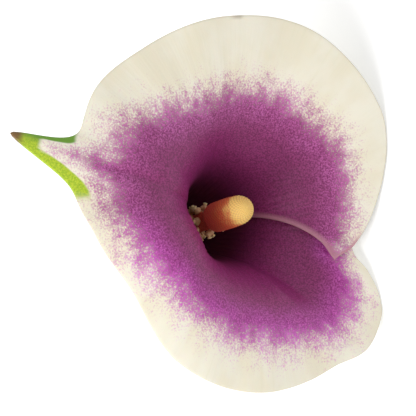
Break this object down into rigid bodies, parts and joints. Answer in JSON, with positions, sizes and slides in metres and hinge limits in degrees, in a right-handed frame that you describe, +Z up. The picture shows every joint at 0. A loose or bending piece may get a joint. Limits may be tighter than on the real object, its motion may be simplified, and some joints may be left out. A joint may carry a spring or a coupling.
{
  "type": "arum lily flower",
  "caption": "Cut arum lily flower with a cream spathe, purple speckled throat, green tip, orange spadix and short stem, lying on its side.",
  "frame": {"origin": "middle of the bounding box at the surface the flower lies on", "axes": "+Z up; the mouth of the funnel looks towards -Y and up, the cut stem end lies towards +Y, +X is across the lobes"},
  "size_m": [0.0968, 0.081, 0.087],
  "materials": {
    "spathe": "satin, cream with a purple speckled throat and a green tip",
    "spadix": "granular, yellow at the tip to orange red",
    "pistil": "waxy, translucent beige",
    "peduncle": "smooth waxy green with a pale cut end"
  },
  "bodies": {
    "root": {"spathe": "spathe", "spadix": "spadix", "peduncle": "peduncle", "pistil_01": "pistil", "pistil_02": "pistil", "pistil_03": "pistil", "pistil_04": "pistil", "pistil_05": "pistil", "pistil_06": "pistil", "pistil_07": "pistil", "pistil_08": "pistil", "pistil_09": "pistil", "pistil_10": "pistil", "pistil_11": "pistil", "pistil_12": "pistil", "pistil_13": "pistil", "pistil_14": "pistil", "pistil_15": "pistil", "pistil_16": "pistil", "pistil_17": "pistil", "pistil_18": "pistil", "pistil_19": "pistil", "pistil_20": "pistil", "pistil_21": "pistil", "pistil_22": "pistil", "pistil_23": "pistil", "pistil_24": "pistil", "pistil_25": "pistil", "pistil_26": "pistil", "pistil_27": "pistil", "pistil_28": "pistil", "pistil_29": "pistil", "pistil_30": "pistil", "pistil_31": "pistil", "pistil_32": "pistil", "pistil_33": "pistil", "pistil_34": "pistil", "pistil_35": "pistil", "pistil_36": "pistil", "pistil_37": "pistil", "pistil_38": "pistil", "pistil_39": "pistil", "pistil_40": "pistil", "pistil_41": "pistil", "pistil_42": "pistil", "pistil_43": "pistil", "pistil_44": "pistil", "pistil_45": "pistil", "pistil_46": "pistil", "pistil_47": "pistil", "pistil_48": "pistil"}
  },
  "joints": []
}
